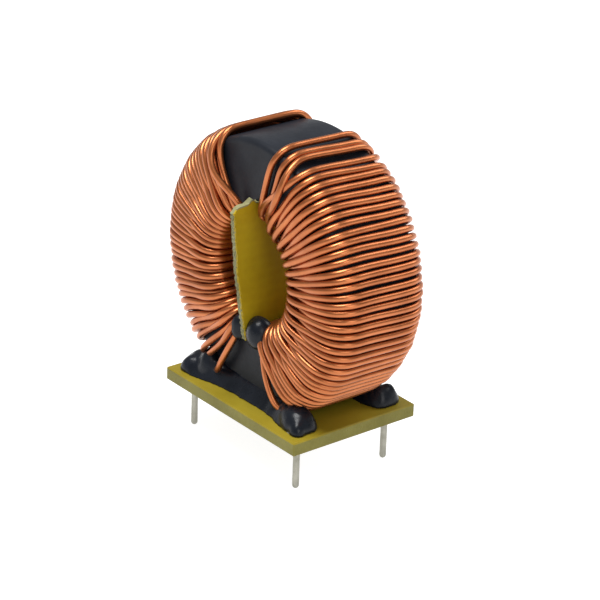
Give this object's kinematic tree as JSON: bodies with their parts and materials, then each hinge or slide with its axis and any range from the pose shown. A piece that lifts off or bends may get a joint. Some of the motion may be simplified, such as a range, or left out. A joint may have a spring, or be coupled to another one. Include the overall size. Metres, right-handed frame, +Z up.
{
  "type": "common mode choke",
  "caption": "Toroidal common mode choke: copper windings on a black ferrite ring, a divider plate in the bore and black epoxy, standing on a glass-fibre board with round pins",
  "frame": {"origin": "middle of the base board's underside, on the plane that seats on a circuit board", "axes": "+X along the board's long side, +Y along the ring's axis towards the back, +Z up from the board; the divider plate's tall flange faces -Y"},
  "size_m": [0.042, 0.0222, 0.0488],
  "materials": {
    "glass_fibre_board": "semi-matte, sawn edges",
    "tinned_pin": "dull tin",
    "solder": "satin",
    "ferrite": "matte, sintered",
    "ring_lacquer": "satin black",
    "enamelled_copper": "glossy clear enamel over copper",
    "divider_sheet": "semi-matte, rough sawn edge",
    "black_epoxy": "glossy"
  },
  "bodies": {
    "root": {"base_board": "glass_fibre_board", "pin_front_left": "tinned_pin", "pin_front_right": "tinned_pin", "pin_back_left": "tinned_pin", "pin_back_right": "tinned_pin", "solder_front_left": "solder", "solder_front_right": "solder", "solder_back_left": "solder", "solder_back_right": "solder", "ferrite_ring": "ferrite", "ring_coating": "ring_lacquer", "winding_right": "enamelled_copper", "winding_left": "enamelled_copper", "divider_plate": "divider_sheet", "epoxy_front": "black_epoxy", "epoxy_back": "black_epoxy", "epoxy_bore_front": "black_epoxy", "epoxy_bore_back": "black_epoxy"}
  },
  "joints": []
}
